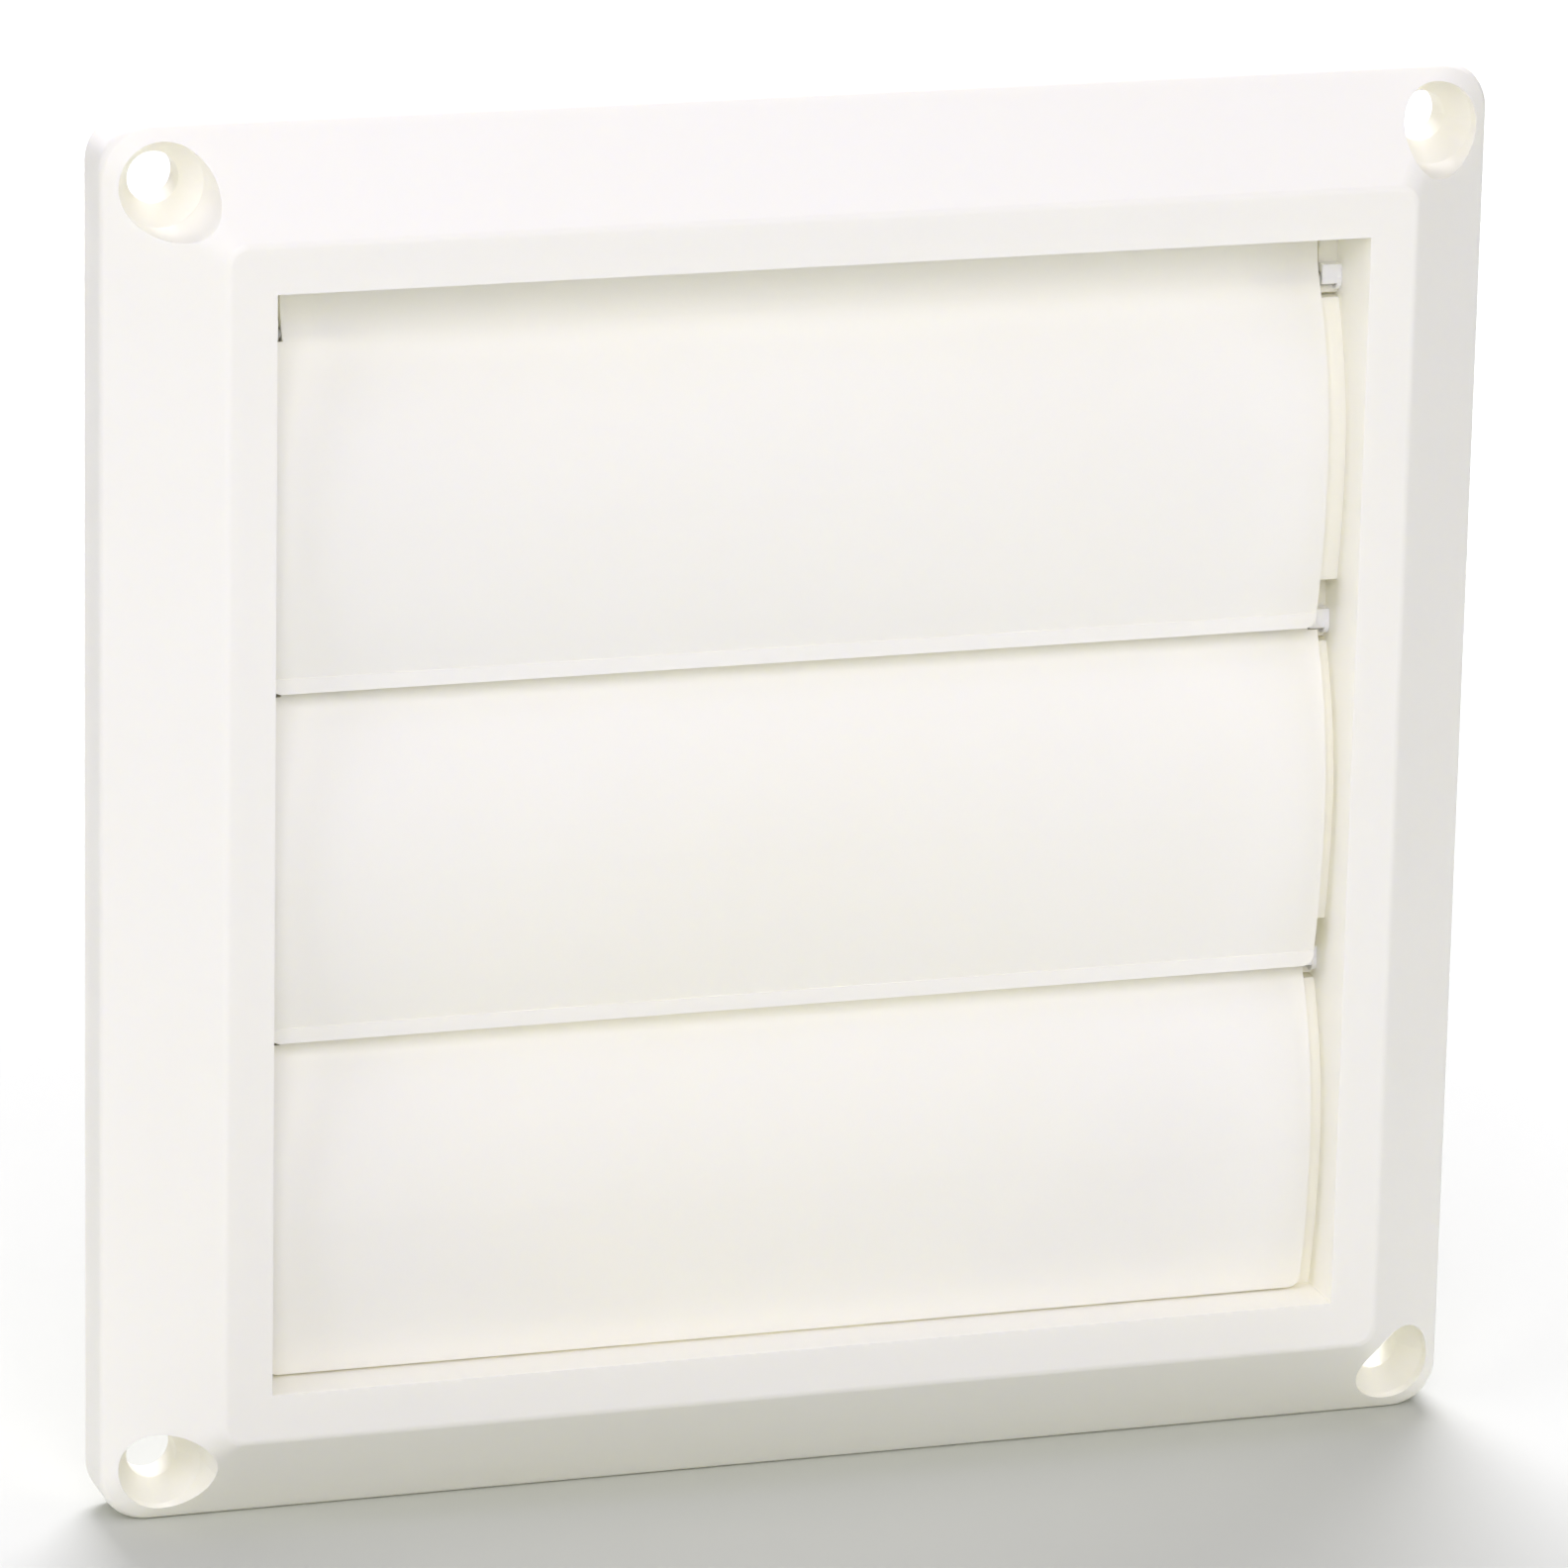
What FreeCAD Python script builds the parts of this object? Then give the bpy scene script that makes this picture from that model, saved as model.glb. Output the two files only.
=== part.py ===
"""Louvred vent cover: square face frame, three gravity louvres on pivot pins, rear duct collar.

Frame of the part: origin at the centre of the back face that lies against the wall,
+Z up, +X to the right seen from outside, +Y into the wall, so the front looks along -Y.
"""
import FreeCAD
import Part
import math
import os
import re

DOC = FreeCAD.newDocument("vent_cover")
SHEET = DOC.addObject("Spreadsheet::Sheet", "Sizes")

# driving dimensions, millimetres and degrees
SIZES = {
    # face frame
    "face_size": 152.4,
    "face_corner": 5.0,
    "band_depth": 6.65,
    "rim_depth": 16.4,
    "slope_inset": 11.2,
    "rim_corner": 2.2,
    "edge_round": 1.2,
    "opening_size": 119.6,
    "wall_gauge": 2.2,
    # screw pockets in the four corners
    "screw_pitch": 139.7,
    "pocket_mouth_rad": 5.3,
    "pocket_seat_rad": 4.6,
    "pocket_seat_depth": 6.9,
    "screw_seat_depth": 3.6,
    "screw_hole_rad": 2.75,
    "boss_wall": 1.8,
    # pivots
    "pivot_first_z": 53.3,
    "pivot_pitch": 38.2,
    "pivot_back": 7.0,
    "pin_rad": 0.75,
    "pin_clear": 0.05,
    "bushing_rad": 1.2,
    "block_front": 8.1,
    "block_back": 5.9,
    "block_above": 1.75,
    "block_below": 0.35,
    "pin_in_blade": 7.0,
    "pin_in_wall": 1.4,
    "lug_reach": 2.2,
    "lug_front": 6.7,
    "lug_back": 3.2,
    "lug_above": 5.0,
    "lug_below": 1.6,
    "root_depth": 0.5,
    # curved ledges that the blades close against
    "stop_reach": 3.2,
    "stop_gap": 0.35,
    "stop_gauge": 1.6,
    "stop_start": 2.0,
    "stop_end": 32.6,
    # louvre blades
    "blade_gauge": 1.3,
    "blade_half_width": 59.0,
    "top_trim": 1.8,
    "middle_trim": 0.7,
    "bottom_trim": 1.0,
    "hub_half_width": 57.2,
    "shoulder_drop": 0.2,
    "shoulder_rad": 1.55,
    "bulge_depth": 12.85,
    "bulge_drop": 19.0,
    "upper_radius": 42.0,
    "lower_radius": 80.0,
    "crest_radius": 9.0,
    "blade_rise": 4.6,
    "blade_drop": 37.6,
    "bottom_blade_drop": 36.45,
    "blade_corner": 1.3,
    "lip_height": 1.65,
    "lip_proud": 0.5,
    "hub_rad": 1.6,
    "hub_width": 9.0,
    # rear duct collar
    "plate_front": 2.4,
    "plate_back": 0.4,
    "plate_gap": 0.3,
    "collar_rad": 49.5,
    "collar_gauge": 2.0,
    "collar_reach": 32.0,
    "collar_lead": 2.5,
    "collar_lead_drop": 0.7,
    "post_rad": 3.2,
    "post_line": 67.6,
    "post_spread": 36.0,
    "collar_screw_rad": 1.25,
    "collar_screw_head_rad": 2.5,
    "collar_screw_length": 7.5,
}


def write_sheet():
    """Fill the spreadsheet, one named size per row."""
    for row, (name, value) in enumerate(SIZES.items(), start=1):
        SHEET.set("A%d" % row, name)
        SHEET.set("B%d" % row, str(value))
        SHEET.setAlias("B%d" % row, name)
    DOC.recompute()


def size(name):
    """A driving dimension as a number."""
    return float(SHEET.get(name))


def bind(obj, **expressions):
    """Bind properties to formulas in which every sheet size is written by its plain name."""
    for prop, formula in expressions.items():
        obj.setExpression(prop, linked(formula))


def linked(formula):
    """Put the sheet's name before every size named in a formula."""
    return re.sub(
        "[a-z_]+",
        lambda word: "Sizes." + word.group() if word.group() in SIZES else word.group(),
        formula,
    )


def place(obj, x="0", y="0", z="0"):
    """Bind the position of an object to formulas."""
    bind(obj, **{".Placement.Base.x": x, ".Placement.Base.y": y, ".Placement.Base.z": z})


def turn(obj, axis, angle):
    """Turn an object about its own origin."""
    obj.Placement = FreeCAD.Placement(FreeCAD.Vector(0, 0, 0), FreeCAD.Rotation(axis, angle))


def box(name, spans):
    """A block from formulas: spans is three pairs (low corner, length) along X, Y, Z."""
    block = DOC.addObject("Part::Box", name)
    (low_x, long_x), (low_y, long_y), (low_z, long_z) = spans
    bind(block, Length=long_x, Width=long_y, Height=long_z)
    place(block, low_x, low_y, low_z)
    return block


def rod(name, along, radius, length, x="0", y="0", z="0"):
    """A cylinder that starts at x, y, z and runs along +X, +Y or -Y."""
    cylinder = DOC.addObject("Part::Cylinder", name)
    bind(cylinder, Radius=radius, Height=length)
    turn_along(cylinder, along)
    place(cylinder, x, y, z)
    return cylinder


def cone(name, along, first, last, length, x="0", y="0", z="0"):
    """A cone frustum that starts at x, y, z and runs along +X, +Y or -Y."""
    frustum = DOC.addObject("Part::Cone", name)
    bind(frustum, Radius1=first, Radius2=last, Height=length)
    turn_along(frustum, along)
    place(frustum, x, y, z)
    return frustum


def turn_along(obj, along):
    """Point an object's own Z axis along a named direction."""
    if along == "+X":
        turn(obj, FreeCAD.Vector(0, 1, 0), 90)
    if along == "+Y":
        turn(obj, FreeCAD.Vector(1, 0, 0), -90)
    if along == "-Y":
        turn(obj, FreeCAD.Vector(1, 0, 0), 90)


def fuse(name, shapes):
    """One body from several."""
    result = DOC.addObject("Part::MultiFuse", name)
    result.Shapes = shapes
    return result


def cut(name, base, tool):
    """Base with the tool's volume taken away."""
    result = DOC.addObject("Part::Cut", name)
    result.Base = base
    result.Tool = tool
    return result


def common(name, shapes):
    """The volume shared by several bodies."""
    result = DOC.addObject("Part::MultiCommon", name)
    result.Shapes = shapes
    return result


def curved_strip(name, outer, inner, span, axis, heights):
    """Part of a tube wall along X between two heights, on the side that bulges towards -Y.

    span is (low corner, length) along X, axis the tube axis's Y and Z, heights (low, length) along Z.
    """
    outside = rod(name + "_outer", "+X", outer, span[1], span[0], *axis)
    inside = rod(name + "_inner", "+X", inner, span[1], span[0], *axis)
    ring = cut(name + "_ring", outside, inside)
    window = box(name + "_window", (span, ("-1 * rim_depth", "rim_depth"), heights))
    return common(name + "_strip", [ring, window])


def finish_part(obj, label):
    """Name a finished sub-part after its file."""
    obj.Label = label
    return obj


# ---------------------------------------------------------------- sketches

def origin_plane(body, role):
    """One of the three origin planes of a body."""
    return [plane for plane in body.Origin.OriginFeatures if plane.Role == role][0]


def sketch_on(body, role, name, offset):
    """A sketch on an origin plane, moved along the plane's normal by a formula."""
    sketch = body.newObject("Sketcher::SketchObject", name)
    sketch.AttachmentSupport = [(origin_plane(body, role), "")]
    sketch.MapMode = "FlatFace"
    bind(sketch, **{".AttachmentOffset.Base.z": offset})
    return sketch


def rounded_square(sketch, half_name, corner_name, half, corner):
    """A centred square with round corners whose two sizes are driven by formulas."""
    import Sketcher
    flat = half - corner
    sides = []
    arcs = []
    for step in range(4):
        angle = math.pi / 2 * step
        start = FreeCAD.Vector(half, -flat, 0)
        end = FreeCAD.Vector(half, flat, 0)
        centre = FreeCAD.Vector(flat, flat, 0)
        side = sketch.addGeometry(Part.LineSegment(spin(start, angle), spin(end, angle)))
        circle = Part.Circle(spin(centre, angle), FreeCAD.Vector(0, 0, 1), corner)
        arc = sketch.addGeometry(Part.ArcOfCircle(circle, angle, angle + math.pi / 2))
        sides.append(side)
        arcs.append(arc)
    for step in range(4):
        following = (step + 1) % 4
        sketch.addConstraint(Sketcher.Constraint("Tangent", sides[step], 2, arcs[step], 1))
        sketch.addConstraint(Sketcher.Constraint("Tangent", arcs[step], 2, sides[following], 1))
    for step in range(1, 4):
        sketch.addConstraint(Sketcher.Constraint("Equal", arcs[0], arcs[step]))
    corner_row = sketch.addConstraint(Sketcher.Constraint("Radius", arcs[0], corner))
    sketch.setExpression("Constraints[%d]" % corner_row, linked(corner_name))
    for arc, sign_x, sign_y in zip(arcs, (1, -1, -1, 1), (1, 1, -1, -1)):
        for kind, sign in (("DistanceX", sign_x), ("DistanceY", sign_y)):
            row = sketch.addConstraint(Sketcher.Constraint(kind, -1, 1, arc, 3, sign * flat))
            middle = "%d * ( %s - %s )" % (sign, half_name, corner_name)
            sketch.setExpression("Constraints[%d]" % row, linked(middle))


def spin(point, angle):
    """A point turned about the sketch's origin."""
    return FreeCAD.Vector(
        point.x * math.cos(angle) - point.y * math.sin(angle),
        point.x * math.sin(angle) + point.y * math.cos(angle),
        0,
    )


def stepped_block(name, base, top):
    """A straight band with a sloped border in front of it.

    base and top are (half size, corner radius, depth in front of the wall) as formulas;
    the band runs from the wall to base's depth, the border from there to top's depth.
    """
    body = DOC.addObject("PartDesign::Body", name)
    floor = sketch_on(body, "XZ_Plane", name + "_floor", "0")
    rounded_square(floor, base[0], base[1], value(base[0]), value(base[1]))
    pad = body.newObject("PartDesign::Pad", name + "_band")
    pad.Profile = floor
    bind(pad, Length=base[2])
    low = sketch_on(body, "XZ_Plane", name + "_low", base[2])
    rounded_square(low, base[0], base[1], value(base[0]), value(base[1]))
    high = sketch_on(body, "XZ_Plane", name + "_high", top[2])
    rounded_square(high, top[0], top[1], value(top[0]), value(top[1]))
    loft = body.newObject("PartDesign::AdditiveLoft", name + "_slope")
    loft.Profile = low
    loft.Sections = [high]
    loft.Ruled = True
    DOC.recompute()
    return body


def value(formula):
    """Work out a formula of sheet sizes as a number."""
    result = SHEET.evalExpression(linked(formula).replace("Sizes.", ""))
    return float(getattr(result, "Value", result))


# ---------------------------------------------------------------- places

BLADES = ("top", "middle", "bottom")
SIDES = (("left", -1), ("right", 1))


def pivot_z(index):
    """Height of a pivot, counted from the top."""
    return "pivot_first_z - %d * pivot_pitch" % index


def corner_signs():
    """The four corners as pairs of signs."""
    return [(sx, sz) for sx in (-1, 1) for sz in (-1, 1)]


def post_places():
    """Centres of the collar's screw posts as pairs of formulas for X and Z."""
    places = []
    for line in (-1, 1):
        for spread in (-1, 1):
            places.append(("%d * post_line" % line, "%d * post_spread" % spread))
            places.append(("%d * post_spread" % spread, "%d * post_line" % line))
    return places


# ---------------------------------------------------------------- face frame

def frame_outside():
    """The solid outside form: band, sloped border and flat rim, with soft edges."""
    body = stepped_block(
        "outside",
        ("face_size / 2", "face_corner", "band_depth"),
        ("face_size / 2 - slope_inset", "rim_corner", "rim_depth"),
    )
    rounded = DOC.addObject("Part::Fillet", "outside_round")
    rounded.Base = body
    rounded.Edges = [(number, size("edge_round"), size("edge_round")) for number in soft_edges(body.Shape)]
    return rounded


def soft_edges(shape):
    """Numbers of the edges round the flat rim and round the front of the band."""
    depths = (-size("rim_depth"), -size("band_depth"))
    numbers = []
    for number, edge in enumerate(shape.Edges, start=1):
        ends = edge.BoundBox
        flat = ends.YLength < 0.001
        if flat and any(abs(ends.YMin - depth) < 0.01 for depth in depths):
            numbers.append(number)
    return numbers


def frame_hollow():
    """The space behind the front skin, open towards the wall."""
    slope_rate = "( slope_inset / ( rim_depth - band_depth ) )"
    slope_run = "( wall_gauge / sin(atan(1 / %s)) )" % slope_rate
    base_half = "( face_size / 2 - wall_gauge )"
    base_depth = "( band_depth - ( %s - wall_gauge ) / %s )" % (slope_run, slope_rate)
    top_half = "( face_size / 2 - slope_inset + wall_gauge * %s - %s )" % (slope_rate, slope_run)
    span = ("-1 * " + base_half, "2 * " + base_half)
    band = box("hollow_band", (span, ("-1 * " + base_depth, base_depth + " + 1"), span))
    taper = DOC.addObject("Part::Wedge", "hollow_taper")
    bind(taper, Xmin="-1 * " + top_half, Xmax=top_half, Zmin="-1 * " + top_half, Zmax=top_half,
         X2min="-1 * " + base_half, X2max=base_half, Z2min="-1 * " + base_half, Z2max=base_half,
         Ymin="wall_gauge - rim_depth", Ymax="-1 * " + base_depth)
    return fuse("hollow", [band, taper])


def opening_wall():
    """The square block kept round the opening, from the collar plate to the rim."""
    half = "opening_size / 2 + wall_gauge"
    span = ("-1 * ( %s )" % half, "2 * ( %s )" % half)
    return box("opening_wall", (span, ("-1 * rim_depth", "rim_depth - plate_front"), span))


def screw_bosses():
    """Four round bosses under the corner pockets that reach back to the wall."""
    bosses = []
    for number, (sx, sz) in enumerate(corner_signs()):
        bosses.append(rod(
            "boss%d" % number, "-Y", "pocket_mouth_rad + boss_wall", "rim_depth",
            x="%d * screw_pitch / 2" % sx, z="%d * screw_pitch / 2" % sz,
        ))
    return bosses


def collar_posts():
    """Round posts that take the collar's screws."""
    posts = []
    for number, (x, z) in enumerate(post_places()):
        posts.append(rod(
            "post%d" % number, "-Y", "post_rad", "rim_depth - plate_front",
            x=x, y="-1 * plate_front", z=z,
        ))
    return posts


def pocket_voids():
    """Corner pockets: a slightly tapered well, a coned seat and the screw hole."""
    voids = []
    for number, (sx, sz) in enumerate(corner_signs()):
        x = "%d * screw_pitch / 2" % sx
        z = "%d * screw_pitch / 2" % sz
        voids.append(cone(
            "well%d" % number, "-Y", "pocket_seat_rad", "pocket_mouth_rad",
            "rim_depth - pocket_seat_depth", x, "-1 * pocket_seat_depth", z,
        ))
        voids.append(cone(
            "seat%d" % number, "-Y", "screw_hole_rad", "pocket_seat_rad",
            "pocket_seat_depth - screw_seat_depth", x, "-1 * screw_seat_depth", z,
        ))
        voids.append(rod(
            "screw_hole%d" % number, "-Y", "screw_hole_rad", "screw_seat_depth + 1",
            x=x, y="1", z=z,
        ))
    return voids


def post_holes():
    """Blind holes for the collar's screws."""
    holes = []
    for number, (x, z) in enumerate(post_places()):
        holes.append(rod(
            "post_hole%d" % number, "-Y", "collar_screw_rad",
            "collar_screw_length - ( plate_front - plate_back )",
            x=x, y="-1 * plate_front", z=z,
        ))
    return holes


def wall_span(sign, reach):
    """Low corner and length along X of something rooted in a side wall of the opening."""
    low = "opening_size / 2 - " + reach if sign > 0 else "-1 * opening_size / 2 - root_depth"
    return low, reach + " + root_depth"


def stop_ledges():
    """Curved ledges on both side walls, a small gap behind the blades, for the blades to close against."""
    ledges = []
    for index, name in enumerate(BLADES):
        pivot = pivot_z(index)
        middle = pivot + " - bulge_drop"
        low = pivot + " - stop_end"
        if name == BLADES[-1]:
            low = "-1 * opening_size / 2 - root_depth"
        for side, sign in SIDES:
            span = wall_span(sign, "stop_reach")
            for label, radius, low_z, length in (
                ("up", "upper_radius", middle, "bulge_drop - stop_start"),
                ("low", "lower_radius", low, "%s - ( %s )" % (middle, low)),
            ):
                front = radius + " - blade_gauge - stop_gap"
                ledges.append(curved_strip(
                    "stop_%s_%s_%s" % (name, side, label), front, front + " - stop_gauge", span,
                    (radius + " - bulge_depth", middle), (low_z, length),
                ))
    return ledges


def lug_blocks():
    """Bearing lugs on both side walls, one over each pivot; the top pair reach the top wall."""
    lugs = []
    for index in range(len(BLADES)):
        for side, sign in SIDES:
            height = "lug_above + lug_below"
            if index == 0:
                height = "opening_size / 2 - pivot_first_z + lug_below + root_depth"
            lugs.append(box("lug_%s%d" % (side, index), (
                wall_span(sign, "lug_reach"),
                ("-1 * lug_front", "lug_front - lug_back"),
                (pivot_z(index) + " - lug_below", height),
            )))
    return lugs


def side_rods(name, radius, start, length):
    """Rods along X on every pivot, mirrored to both sides, from start outwards."""
    rods = []
    for index in range(len(BLADES)):
        for side, sign in SIDES:
            low_x = start if sign > 0 else "-1 * ( %s ) - ( %s )" % (start, length)
            rods.append(rod("%s_%s%d" % (name, side, index), "+X", radius, length,
                            x=low_x, y="-1 * pivot_back", z=pivot_z(index)))
    return rods


def pin_paths(name):
    """Running clearance for the pins, through the lugs and the side walls."""
    return side_rods(name, "pin_rad + pin_clear", "opening_size / 2 - lug_reach - 1",
                     "lug_reach + wall_gauge + 2")


def bushing_forms(name):
    """The six bushings' outsides: a block on each lug and a round plug into the side wall."""
    plugs = side_rods(name + "_plug", "bushing_rad", "opening_size / 2 - root_depth",
                      "wall_gauge + root_depth")
    forms = []
    for number, plug in enumerate(plugs):
        index, place_in_pair = divmod(number, len(SIDES))
        sign = SIDES[place_in_pair][1]
        low_x = "opening_size / 2 - lug_reach" if sign > 0 else "-1 * opening_size / 2"
        block = box("%s_block%d" % (name, number), (
            (low_x, "lug_reach"),
            ("-1 * block_front", "block_front - block_back"),
            (pivot_z(index) + " - block_below", "block_above + block_below"),
        ))
        forms.append(fuse("%s_form%d" % (name, number), [block, plug]))
    return forms


def pivot_bushings():
    """Six snap-in bushings, open below, let into the lugs and side walls, as separate solids in one group."""
    solids = []
    for number, (form, bore) in enumerate(zip(bushing_forms("bushing"), pin_paths("bushing_bore"))):
        solids.append(cut("bushing%d" % number, form, bore))
    group = DOC.addObject("Part::Compound", "bushings")
    group.Links = solids
    return finish_part(group, "pivot_bushings")


def face_frame():
    """The moulded front frame."""
    kept = fuse("kept", [opening_wall()] + screw_bosses() + collar_posts())
    void = cut("hollow_void", frame_hollow(), kept)
    shell = cut("shell", frame_outside(), void)
    half_opening = ("-1 * opening_size / 2", "opening_size")
    opening = box("opening", (half_opening, ("-1 * rim_depth - 1", "rim_depth + 2"), half_opening))
    open_shell = cut("open_shell", shell, opening)
    holes = fuse("frame_holes", pocket_voids() + post_holes())
    drilled = cut("drilled", open_shell, holes)
    fitted = fuse("fitted", [drilled] + lug_blocks() + stop_ledges())
    seats = bushing_forms("seat") + pin_paths("pin_path")
    bored = cut("bored", fitted, fuse("bushing_seats", seats))
    return finish_part(bored, "face_frame")


# ---------------------------------------------------------------- louvres

def skin_piece(name, radius, low_z, length, pivot):
    """Part of the curved blade skin between two heights."""
    return curved_strip(
        name, radius, radius + " - blade_gauge", blade_span(),
        (radius + " - bulge_depth", pivot + " - bulge_drop"), (low_z, length),
    )


def blade_span():
    """Low corner and length along X of an untrimmed blade."""
    return "-1 * blade_half_width", "2 * blade_half_width"


def crest_piece(name, pivot):
    """The skin above the pivot, hollow towards the front, that turns the blade upright again."""
    flat = "sqrt(upper_radius ^ 2 - bulge_drop ^ 2)"
    back = "( crest_radius / upper_radius )"
    axis_y = "upper_radius - bulge_depth - %s * ( 1 + %s )" % (flat, back)
    axis_z = "%s + bulge_drop * %s" % (pivot, back)
    return curved_strip(
        name, "crest_radius + blade_gauge", "crest_radius", blade_span(),
        (axis_y, axis_z), (pivot, "blade_rise"),
    )


def lip_band(name, drop, pivot):
    """The flat band along the bottom edge, standing a little proud of the skin."""
    reach = "( lower_radius - sqrt(lower_radius ^ 2 - ( %s - bulge_drop ) ^ 2) )" % drop
    front = "-1 * bulge_depth + %s - lip_proud" % reach
    return box(name + "_lip", (
        ("-1 * blade_half_width", "2 * blade_half_width"),
        (front, "lip_proud + blade_gauge"),
        (pivot + " - " + drop, "lip_height"),
    ))


def blade_outline(name, drop, pivot):
    """A prism along Y with the blade's front outline, its two lower corners round."""
    low = pivot + " - " + drop
    deep = ("-1 * rim_depth", "rim_depth")
    tall = drop + " + blade_rise + hub_rad"
    trim = name + "_trim"
    upper = box(name + "_tall", (
        ("-1 * blade_half_width", "2 * blade_half_width - " + trim),
        deep, (low + " + blade_corner", tall),
    ))
    lower = box(name + "_inset", (
        ("blade_corner - blade_half_width", "2 * ( blade_half_width - blade_corner ) - " + trim),
        deep, (low, tall),
    ))
    corners = []
    for middle in ("blade_corner - blade_half_width", "blade_half_width - blade_corner - " + trim):
        corners.append(rod("%s_corner%d" % (name, len(corners)), "-Y", "blade_corner", "rim_depth",
                           middle, "0", low + " + blade_corner"))
    return fuse(name + "_outline", [upper, lower] + corners)


def louver(index, label, drop, with_lip):
    """One curved blade with a flat lip or a plain edge, cut-back top corners and two pin hubs."""
    name = BLADES[index]
    pivot = pivot_z(index)
    wide = "2 * blade_half_width"
    start = "-1 * blade_half_width"
    crest = crest_piece(name + "_crest", pivot)
    upper = skin_piece(name + "_up", "upper_radius", pivot + " - bulge_drop", "bulge_drop", pivot)
    lower = skin_piece(name + "_low", "lower_radius",
                       pivot + " - " + drop, drop + " - bulge_drop", pivot)
    hubs = []
    for side, sign in SIDES:
        low_x = "hub_half_width - hub_width" if sign > 0 else "-1 * hub_half_width"
        hubs.append(rod(name + "_hub_" + side, "+X", "hub_rad", "hub_width",
                        low_x, "-1 * pivot_back", pivot))
    front_limit = rod(name + "_limit", "+X", "upper_radius", wide, start,
                      "upper_radius - bulge_depth", pivot + " - bulge_drop")
    hub_pair = common(name + "_hub_pair", [fuse(name + "_hubs", hubs), front_limit])
    pieces = [crest, upper, lower, hub_pair]
    if with_lip:
        pieces.append(lip_band(name, drop, pivot))
    whole = fuse(name + "_whole", pieces)
    trimmed = common(name + "_trimmed", [whole, blade_outline(name, drop, pivot)])
    tools = []
    for side, sign in SIDES:
        notch_x = "hub_half_width" if sign > 0 else "-1 * blade_half_width - 1"
        notch_wide = "blade_half_width - hub_half_width + 1"
        tools.append(box(name + "_notch_" + side, (
            (notch_x, notch_wide),
            ("-1 * rim_depth", "rim_depth"),
            (pivot + " - shoulder_drop", "shoulder_drop + blade_rise + 1"),
        )))
        tools.append(rod(name + "_shoulder_" + side, "+X", "shoulder_rad", notch_wide,
                         notch_x, "-1 * pivot_back", pivot))
        start_in = "hub_half_width - pin_in_blade"
        low_x = start_in if sign > 0 else "-1 * hub_half_width - 1"
        tools.append(rod(name + "_socket_" + side, "+X", "pin_rad", "pin_in_blade + 1",
                         low_x, "-1 * pivot_back", pivot))
    blade = cut(name + "_blade", trimmed, fuse(name + "_tools", tools))
    return finish_part(blade, label)


def pivot_pin(index, side, sign):
    """One plain pin pressed into a blade hub; its outer end turns in a bushing."""
    inner = "( hub_half_width - pin_in_blade )"
    outer = "( opening_size / 2 + pin_in_wall )"
    low_x = inner if sign > 0 else "-1 * " + outer
    pin = rod("pin_%s%d" % (side, index), "+X", "pin_rad", "%s - %s" % (outer, inner),
              low_x, "-1 * pivot_back", pivot_z(index))
    return finish_part(pin, "pivot_pin_%s_%s" % (BLADES[index], side))


# ---------------------------------------------------------------- rear collar

def duct_collar():
    """Back plate with a round spigot whose end narrows to lead the duct on."""
    half = "( face_size / 2 - wall_gauge - plate_gap )"
    span = ("-1 * " + half, "2 * " + half)
    plate = box("plate", (span, ("-1 * plate_front", "plate_front - plate_back"), span))
    tube = rod("spigot", "+Y", "collar_rad", "collar_reach - collar_lead + plate_back",
               y="-1 * plate_back")
    lead = cone("lead", "+Y", "collar_rad", "collar_rad - collar_lead_drop", "collar_lead",
                y="collar_reach - collar_lead")
    blank = fuse("collar_blank", [plate, tube, lead])
    tools = [rod("duct_bore", "+Y", "collar_rad - collar_gauge", "collar_reach + 2 * plate_front",
                 y="-1 * plate_front - 1")]
    for number, (sx, sz) in enumerate(corner_signs()):
        corner = "( pocket_mouth_rad + boss_wall + plate_gap )"
        centre_x = "%d * screw_pitch / 2" % sx
        centre_z = "%d * screw_pitch / 2" % sz
        tools.append(rod("boss_gap%d" % number, "-Y", corner, "2 * plate_front",
                         centre_x, "1", centre_z))
        low_x = centre_x if sx > 0 else centre_x + " - " + corner
        low_z = centre_z + " - " + corner
        tools.append(box("corner_gap%d" % number, (
            (low_x, corner), ("-1 * plate_front - 1", "plate_front + 1"), (low_z, "2 * " + corner),
        )))
        low_x = centre_x + " - " + corner
        low_z = centre_z if sz > 0 else centre_z + " - " + corner
        tools.append(box("corner_slot%d" % number, (
            (low_x, "2 * " + corner), ("-1 * plate_front - 1", "plate_front + 1"), (low_z, corner),
        )))
    for number, (x, z) in enumerate(post_places()):
        tools.append(cone("sink%d" % number, "-Y", "collar_screw_head_rad", "collar_screw_rad",
                          "plate_front - plate_back", x, "-1 * plate_back", z))
    collar = cut("collar", blank, fuse("collar_tools", tools))
    return finish_part(collar, "duct_collar")


def collar_screws():
    """Eight small flat-head screws, as separate solids in one group."""
    solids = []
    for number, (x, z) in enumerate(post_places()):
        head = cone("head%d" % number, "-Y", "collar_screw_head_rad", "collar_screw_rad",
                    "plate_front - plate_back", x, "-1 * plate_back", z)
        slot = box("slot%d" % number, (
            (x + " - collar_screw_head_rad", "2 * collar_screw_head_rad"),
            ("-1 * plate_back - 0.7", "1"),
            (z + " - 0.3", "0.6"),
        ))
        shank = rod("shank%d" % number, "-Y", "collar_screw_rad",
                    "collar_screw_length - ( plate_front - plate_back ) - 0.4",
                    x, "-1 * plate_front", z)
        solids.append(cut("screw%d" % number, fuse("screw_blank%d" % number, [head, shank]), slot))
    group = DOC.addObject("Part::Compound", "screws")
    group.Links = solids
    return finish_part(group, "collar_screws")


# ---------------------------------------------------------------- build and write

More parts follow.
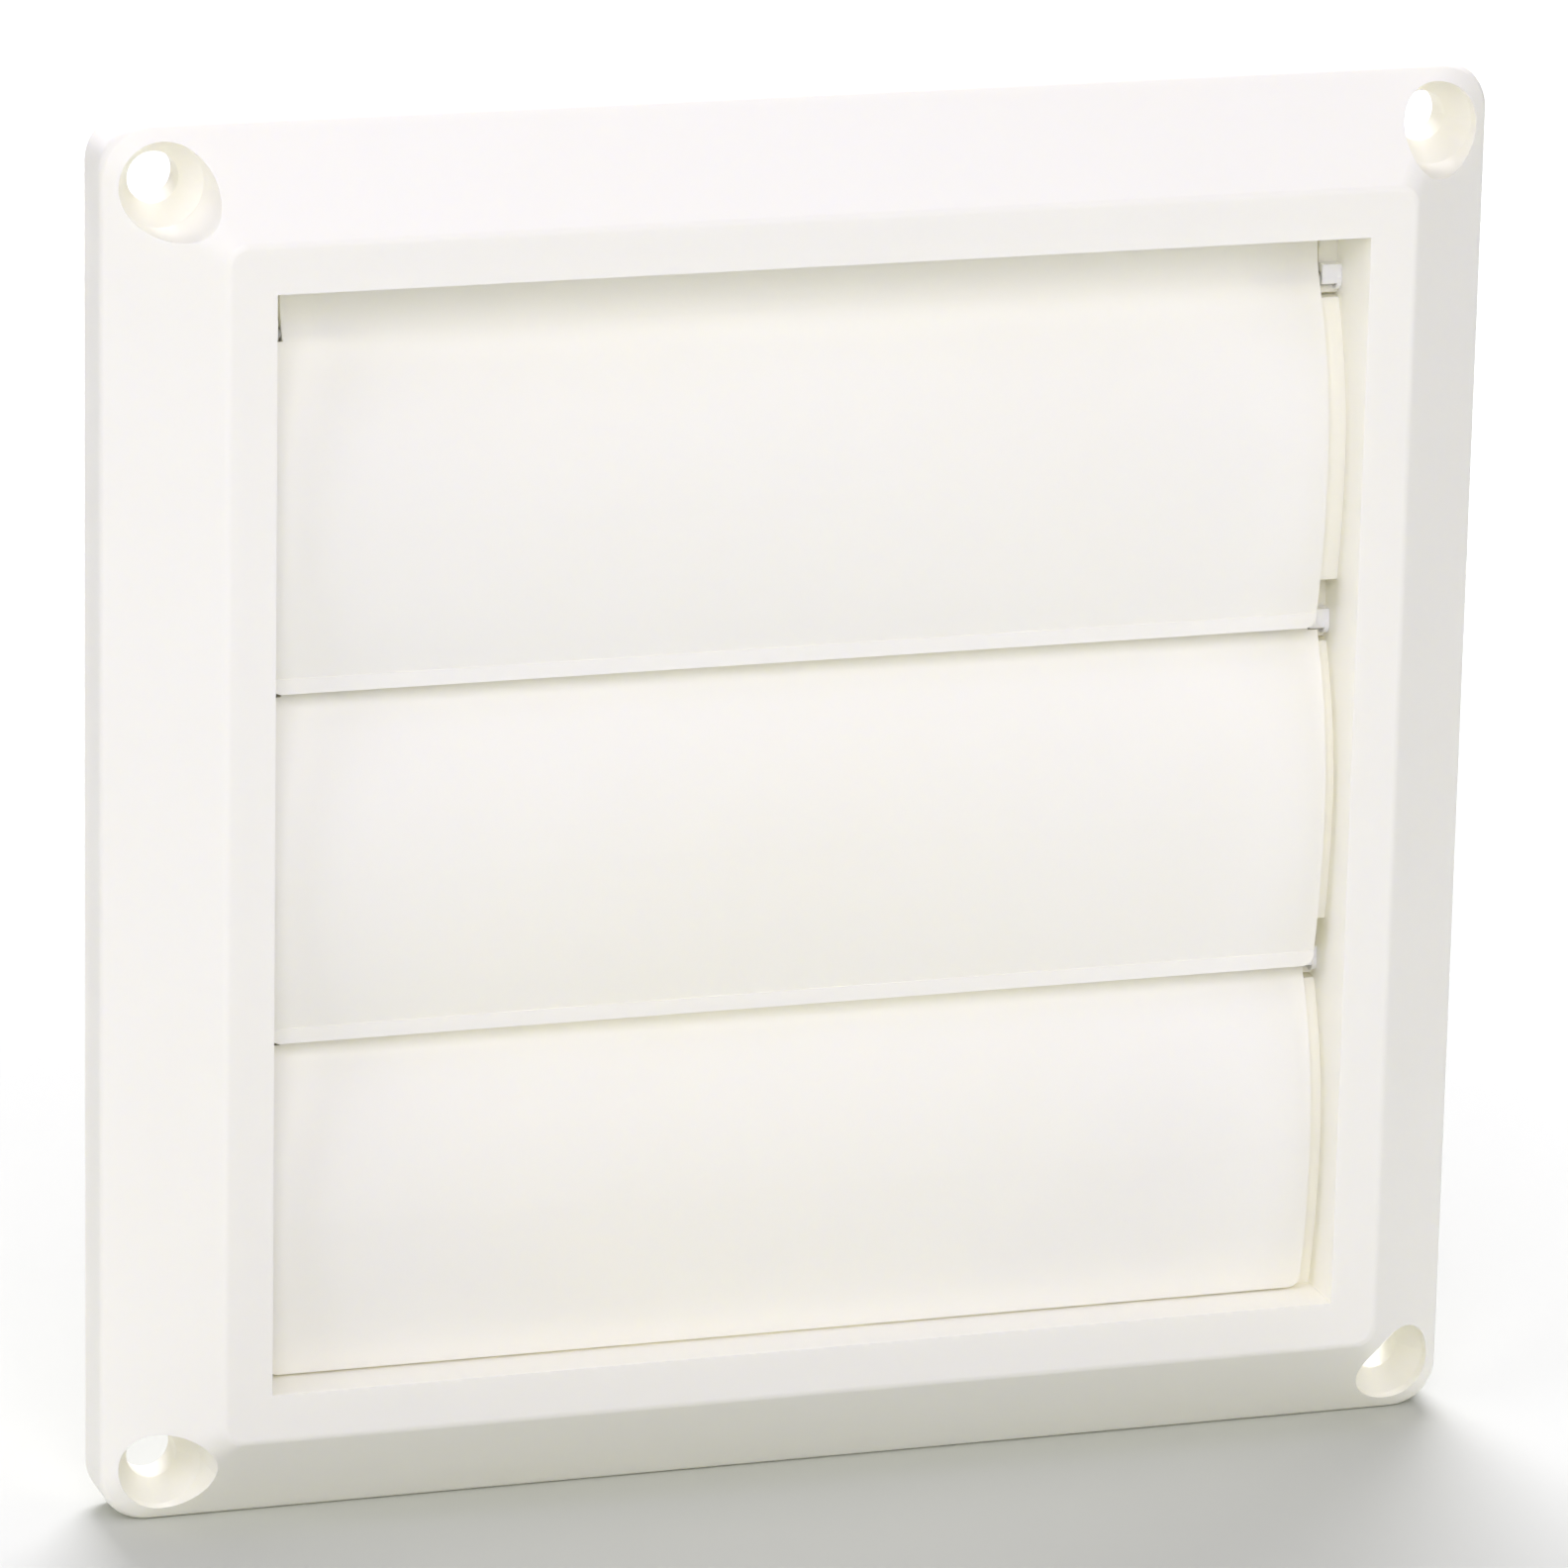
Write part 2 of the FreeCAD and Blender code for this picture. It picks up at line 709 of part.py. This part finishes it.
def build_all():
    """Make every sub-part and return them."""
    write_sheet()
    parts = [face_frame(), pivot_bushings()]
    for index, name in enumerate(BLADES):
        lowest = name == BLADES[-1]
        drop = "bottom_blade_drop" if lowest else "blade_drop"
        parts.append(louver(index, "louver_" + name, drop, not lowest))
        for side, sign in SIDES:
            parts.append(pivot_pin(index, side, sign))
    parts.append(duct_collar())
    parts.append(collar_screws())
    DOC.recompute()
    return parts


def check(parts):
    """Stop if any object failed to compute or a finished shape isn't sound."""
    for obj in DOC.Objects:
        bad = [word for word in obj.State if word in ("Invalid", "Error")]
        if bad:
            raise RuntimeError("%s is %s" % (obj.Name, bad))
    for part in parts:
        if part.Shape.isNull() or not part.Shape.isValid() or not part.Shape.Solids:
            raise RuntimeError("%s has no sound shape" % part.Label)


def export(parts):
    """Write each sub-part to its own file."""
    os.makedirs("parts", exist_ok=True)
    for part in parts:
        part.Shape.exportStep("parts/%s.step" % part.Label)
        bounds = part.Shape.BoundBox
        print("%-24s solids %d  volume %9.1f  %7.2f..%7.2f  %7.2f..%7.2f  %7.2f..%7.2f" % (
            part.Label, len(part.Shape.Solids), part.Shape.Volume,
            bounds.XMin, bounds.XMax, bounds.YMin, bounds.YMax, bounds.ZMin, bounds.ZMax))


PARTS = build_all()
check(PARTS)
export(PARTS)
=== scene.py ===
"""Looks for the louvred exhaust vent cover: ivory moulded plastic, soft studio light, pale floor."""
import bpy
import math
from mathutils import Matrix, Vector


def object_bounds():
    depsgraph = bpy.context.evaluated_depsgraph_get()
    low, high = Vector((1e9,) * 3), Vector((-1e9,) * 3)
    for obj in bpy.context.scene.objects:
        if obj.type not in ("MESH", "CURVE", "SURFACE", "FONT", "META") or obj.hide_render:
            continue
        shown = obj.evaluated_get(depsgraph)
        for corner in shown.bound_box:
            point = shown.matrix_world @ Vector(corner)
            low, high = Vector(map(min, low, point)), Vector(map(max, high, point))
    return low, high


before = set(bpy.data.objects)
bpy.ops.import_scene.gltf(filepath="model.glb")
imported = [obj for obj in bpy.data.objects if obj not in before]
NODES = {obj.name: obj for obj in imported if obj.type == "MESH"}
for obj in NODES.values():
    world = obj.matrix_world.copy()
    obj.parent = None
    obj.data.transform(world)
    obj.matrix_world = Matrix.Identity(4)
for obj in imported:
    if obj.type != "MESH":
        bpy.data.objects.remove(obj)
cad_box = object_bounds()

MM = 0.001
LOUVERS = ("louver_top", "louver_middle", "louver_bottom")

# Colours, linear RGB. The plastic is slightly yellow and the light slightly blue, so faces that see
# the light look ivory, and the light that bounces about in the gaps turns yellow. The floor's colour
# makes up for the light's, so the floor looks white.
IVORY = (0.935, 0.924, 0.832)
IVORY_BLADE = (0.945, 0.935, 0.848)
NYLON = (0.95, 0.955, 0.93)
SPECK = (0.16, 0.14, 0.10)
STEEL = (0.62, 0.62, 0.60)
ZINC = (0.55, 0.56, 0.57)
FLOOR = (0.62, 0.636, 0.564)
DAYLIGHT = (0.91, 0.887, 1.0)

# how much the second tone of a surface differs from the first
WARM_TINT = (1.0, 0.995, 0.98)
METAL_TARNISH = 0.78
FLOOR_SHADE = 0.985

# moulded plastic
SATIN = 0.42
NYLON_SATIN = 0.36
PLASTIC_IOR = 1.49
PLASTIC_SPECULAR = 0.42
GLOW_WEIGHT = 0.3
GLOW_RADIUS = (1.0, 0.95, 0.6)
GLOW_DEPTH = 1.2 * MM
SPECK_STRENGTH = 0.6
NOISE_ROUGHNESS = 0.55

# stage and surround
FLOOR_HALF = 3.0
FLOOR_GAP = 0.05 * MM
SOFT_BOX = 1.0
SURROUND_STRENGTH = 0.05
LIGHT_BOUNCES = 12

# camera: a long lens from the left and above, slightly rolled; millimetres and degrees
CAMERA_PLACE = (-300.17, -939.45, 286.67)
CAMERA_AZIMUTH = 17.77
CAMERA_ELEVATION = 16.265
CAMERA_ROLL = 1.173
CAMERA_LENS = 219.34
SENSOR_WIDTH = 36.0


# ---------------------------------------------------------------- material helpers

def new_material(name):
    """An empty node material with its output and a principled shader."""
    material = bpy.data.materials.new(name)
    material.use_nodes = True
    tree = material.node_tree
    tree.nodes.clear()
    output = tree.nodes.new("ShaderNodeOutputMaterial")
    shader = tree.nodes.new("ShaderNodeBsdfPrincipled")
    tree.links.new(shader.outputs["BSDF"], output.inputs["Surface"])
    return material, tree, shader


def noise(tree, scale, detail, vector):
    """A noise texture in object space."""
    node = tree.nodes.new("ShaderNodeTexNoise")
    node.inputs["Scale"].default_value = scale
    node.inputs["Detail"].default_value = detail
    node.inputs["Roughness"].default_value = NOISE_ROUGHNESS
    tree.links.new(vector, node.inputs["Vector"])
    return node.outputs["Fac"]


def spread(tree, value, low, high, first=0.0, last=1.0):
    """Map a value from one range to another, clamped."""
    node = tree.nodes.new("ShaderNodeMapRange")
    node.inputs["From Min"].default_value = low
    node.inputs["From Max"].default_value = high
    node.inputs["To Min"].default_value = first
    node.inputs["To Max"].default_value = last
    tree.links.new(value, node.inputs["Value"])
    return node.outputs["Result"]


def blend_colours(tree, factor, first, second):
    """Mix two colours, or colour sockets, by a factor."""
    node = tree.nodes.new("ShaderNodeMix")
    node.data_type = "RGBA"
    tree.links.new(factor, node.inputs["Factor"])
    for colour, socket in ((first, node.inputs[6]), (second, node.inputs[7])):
        if isinstance(colour, tuple):
            socket.default_value = (*colour, 1.0)
        else:
            tree.links.new(colour, socket)
    return node.outputs[2]


def combine(tree, operation, first, second):
    """Arithmetic on two values, either of which may be a plain number."""
    node = tree.nodes.new("ShaderNodeMath")
    node.operation = operation
    for value, socket in ((first, node.inputs[0]), (second, node.inputs[1])):
        if isinstance(value, (int, float)):
            socket.default_value = value
        else:
            tree.links.new(value, socket)
    return node.outputs[0]


def add_bump(tree, shader, height, distance, strength):
    """Bump the shader's normal by a height socket."""
    node = tree.nodes.new("ShaderNodeBump")
    node.inputs["Distance"].default_value = distance
    node.inputs["Strength"].default_value = strength
    tree.links.new(height, node.inputs["Height"])
    tree.links.new(node.outputs["Normal"], shader.inputs["Normal"])


def object_vector(tree):
    """Object coordinates, in metres."""
    return tree.nodes.new("ShaderNodeTexCoord").outputs["Object"]


# ---------------------------------------------------------------- materials

def moulded_plastic(name, colour, rough=SATIN):
    """Satin moulded plastic: slow tint drift, fine grain, flow streaks and rare dark specks."""
    material, tree, shader = new_material(name)
    where = object_vector(tree)
    drift = spread(tree, noise(tree, 14.0, 3.0, where), 0.35, 0.65)
    warmer = tuple(part * tint for part, tint in zip(colour, WARM_TINT))
    tinted = blend_colours(tree, drift, colour, warmer)
    specks = tree.nodes.new("ShaderNodeTexVoronoi")
    specks.inputs["Scale"].default_value = 55.0
    tree.links.new(where, specks.inputs["Vector"])
    inside = spread(tree, specks.outputs["Distance"], 0.016, 0.010)
    chosen = spread(tree, noise(tree, 31.0, 1.0, where), 0.66, 0.68)
    speck = combine(tree, "MULTIPLY", combine(tree, "MULTIPLY", inside, chosen), SPECK_STRENGTH)
    tree.links.new(blend_colours(tree, speck, tinted, SPECK), shader.inputs["Base Color"])
    grain = noise(tree, 1900.0, 2.0, where)
    waves = noise(tree, 70.0, 2.0, where)
    roughness = spread(tree, waves, 0.3, 0.7, rough - 0.04, rough + 0.05)
    tree.links.new(roughness, shader.inputs["Roughness"])
    fine = combine(tree, "MULTIPLY", grain, 0.35)
    slow = combine(tree, "MULTIPLY", waves, 0.65)
    add_bump(tree, shader, combine(tree, "ADD", fine, slow), 0.06 * MM, 0.35)
    shader.inputs["IOR"].default_value = PLASTIC_IOR
    shader.inputs["Specular IOR Level"].default_value = PLASTIC_SPECULAR
    shader.inputs["Subsurface Weight"].default_value = GLOW_WEIGHT
    shader.inputs["Subsurface Radius"].default_value = GLOW_RADIUS
    shader.inputs["Subsurface Scale"].default_value = GLOW_DEPTH
    return material


def metal(name, colour, rough):
    """Plain metal with fine drawn lines and slight tarnish."""
    material, tree, shader = new_material(name)
    where = object_vector(tree)
    tarnish = spread(tree, noise(tree, 240.0, 4.0, where), 0.35, 0.7)
    darker = tuple(part * METAL_TARNISH for part in colour)
    tree.links.new(blend_colours(tree, tarnish, colour, darker), shader.inputs["Base Color"])
    tree.links.new(spread(tree, tarnish, 0.0, 1.0, rough, rough + 0.15), shader.inputs["Roughness"])
    add_bump(tree, shader, noise(tree, 2600.0, 2.0, where), 0.03 * MM, 0.3)
    shader.inputs["Metallic"].default_value = 1.0
    return material


def floor_paper():
    """Matt pale paper with a faint tooth."""
    material, tree, shader = new_material("floor_paper")
    where = object_vector(tree)
    tone = spread(tree, noise(tree, 3.0, 2.0, where), 0.3, 0.7)
    darker = tuple(part * FLOOR_SHADE for part in FLOOR)
    tree.links.new(blend_colours(tree, tone, FLOOR, darker), shader.inputs["Base Color"])
    add_bump(tree, shader, noise(tree, 900.0, 2.0, where), 0.1 * MM, 0.1)
    shader.inputs["Roughness"].default_value = 0.85
    return material


# ---------------------------------------------------------------- dressing the nodes

def dress(name, material):
    """Give every slot of a node one material."""
    mesh = NODES[name].data
    mesh.materials.clear()
    mesh.materials.append(material)


def dress_all():
    """Materials for all nodes."""
    frame_plastic = moulded_plastic("ivory_frame", IVORY)
    blade_plastic = moulded_plastic("ivory_blade", IVORY_BLADE)
    rear_plastic = moulded_plastic("ivory_rear", IVORY)
    nylon = moulded_plastic("white_nylon", NYLON, NYLON_SATIN)
    steel = metal("drawn_steel", STEEL, 0.28)
    zinc = metal("zinc_plate", ZINC, 0.36)
    dress("face_frame", frame_plastic)
    dress("duct_collar", rear_plastic)
    dress("pivot_bushings", nylon)
    dress("collar_screws", zinc)
    for name in LOUVERS:
        dress(name, blade_plastic)
    for name in NODES:
        if name.startswith("pivot_pin"):
            dress(name, steel)


# ---------------------------------------------------------------- stage, light and camera

def add_floor():
    """A wide pale floor just below the cover."""
    level = cad_box[0][2] - FLOOR_GAP
    signs = ((-1, -1), (1, -1), (1, 1), (-1, 1))
    corners = [(x * FLOOR_HALF, y * FLOOR_HALF, level) for x, y in signs]
    mesh = bpy.data.meshes.new("floor")
    mesh.from_pydata(corners, [], [(0, 1, 2, 3)])
    floor = bpy.data.objects.new("floor", mesh)
    bpy.context.scene.collection.objects.link(floor)
    mesh.materials.append(floor_paper())


def add_light(name, place, target, power, size=SOFT_BOX, beam=180.0):
    """A square soft box pointed at a target, its beam as wide as the given angle in degrees."""
    data = bpy.data.lights.new(name, "AREA")
    data.shape = "SQUARE"
    data.size = size
    data.energy = power
    data.color = DAYLIGHT
    data.spread = math.radians(beam)
    lamp = bpy.data.objects.new(name, data)
    lamp.location = place
    direction = Vector(target) - Vector(place)
    lamp.rotation_euler = direction.to_track_quat("-Z", "Y").to_euler()
    bpy.context.scene.collection.objects.link(lamp)


def add_lights():
    """Soft key over the viewer's shoulder, fill from the sides and above, and a bright floor behind."""
    middle = (0.0, 0.0, 0.0)
    add_light("key", (-0.40, -1.40, 0.85), middle, 14.2)
    add_light("top", (-0.10, -0.25, 1.30), middle, 4.7)
    add_light("left", (-1.50, -0.50, 0.60), middle, 9.6)
    add_light("right", (1.30, -1.10, 0.50), middle, 6.8)
    add_light("rear", (-0.30, 1.00, 0.45), middle, 2.2, size=0.8)
    add_light("floor_glow", (0.35, 1.10, 1.20), (0.30, 0.50, -0.076), 15.0, beam=100.0)
    bpy.context.scene.cycles.diffuse_bounces = LIGHT_BOUNCES


def add_surround():
    """A faint even light from all round."""
    world = bpy.data.worlds.new("surround")
    world.use_nodes = True
    shade = world.node_tree.nodes["Background"]
    shade.inputs["Color"].default_value = (*DAYLIGHT, 1.0)
    shade.inputs["Strength"].default_value = SURROUND_STRENGTH
    bpy.context.scene.world = world


def add_camera():
    """The camera, turned by its azimuth, elevation and roll."""
    data = bpy.data.cameras.new("camera")
    data.sensor_width = SENSOR_WIDTH
    data.lens = CAMERA_LENS
    data.clip_start = 0.05
    data.clip_end = 50.0
    azimuth = math.radians(CAMERA_AZIMUTH)
    elevation = math.radians(CAMERA_ELEVATION)
    level = math.cos(elevation)
    look = Vector((math.sin(azimuth) * level, math.cos(azimuth) * level, -math.sin(elevation)))
    roll = Matrix.Rotation(math.radians(CAMERA_ROLL), 3, "Z")
    turn = look.to_track_quat("-Z", "Y").to_matrix() @ roll
    camera = bpy.data.objects.new("camera", data)
    camera.rotation_mode = "XYZ"
    camera.rotation_euler = turn.to_euler()
    camera.location = Vector(CAMERA_PLACE) * MM
    bpy.context.scene.collection.objects.link(camera)
    bpy.context.scene.camera = camera


def set_view():
    """Neutral tone mapping."""
    view = bpy.context.scene.view_settings
    view.view_transform = "Standard"
    view.look = "None"
    view.exposure = 0.0


dress_all()
add_floor()
add_lights()
add_surround()
add_camera()
set_view()
